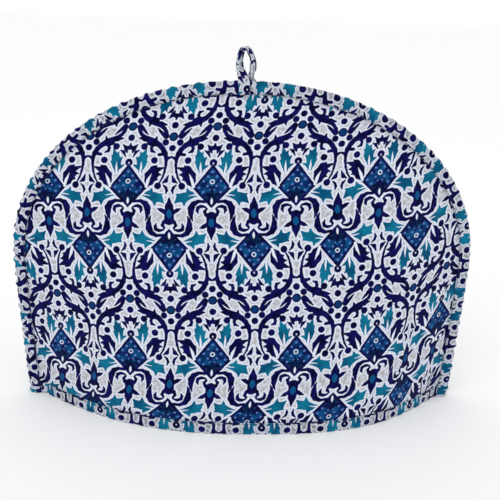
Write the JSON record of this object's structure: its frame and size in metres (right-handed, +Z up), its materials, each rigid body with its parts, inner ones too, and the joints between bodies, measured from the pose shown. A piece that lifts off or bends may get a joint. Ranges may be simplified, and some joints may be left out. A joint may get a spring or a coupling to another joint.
{
  "type": "tea cosy",
  "caption": "Dome-shaped tea cosy of wadded, printed cotton: two panels joined by a bound arched edge, bound hems and a hanging loop at the top.",
  "frame": {"origin": "centre of the open foot, on the surface that the hem rests on", "axes": "+Z up to the hanging loop, +X along the arched seam to the right as seen from the front, -Y out of the front panel"},
  "size_m": [0.333, 0.1243, 0.2588],
  "materials": {
    "panel_print": "matt printed cotton, wadded",
    "binding_print": "matt printed cotton strip"
  },
  "bodies": {
    "root": {"front_panel": "panel_print", "back_panel": "panel_print", "front_hem_binding": "binding_print", "back_hem_binding": "binding_print", "arch_binding": "binding_print", "top_loop": "binding_print"}
  },
  "joints": []
}
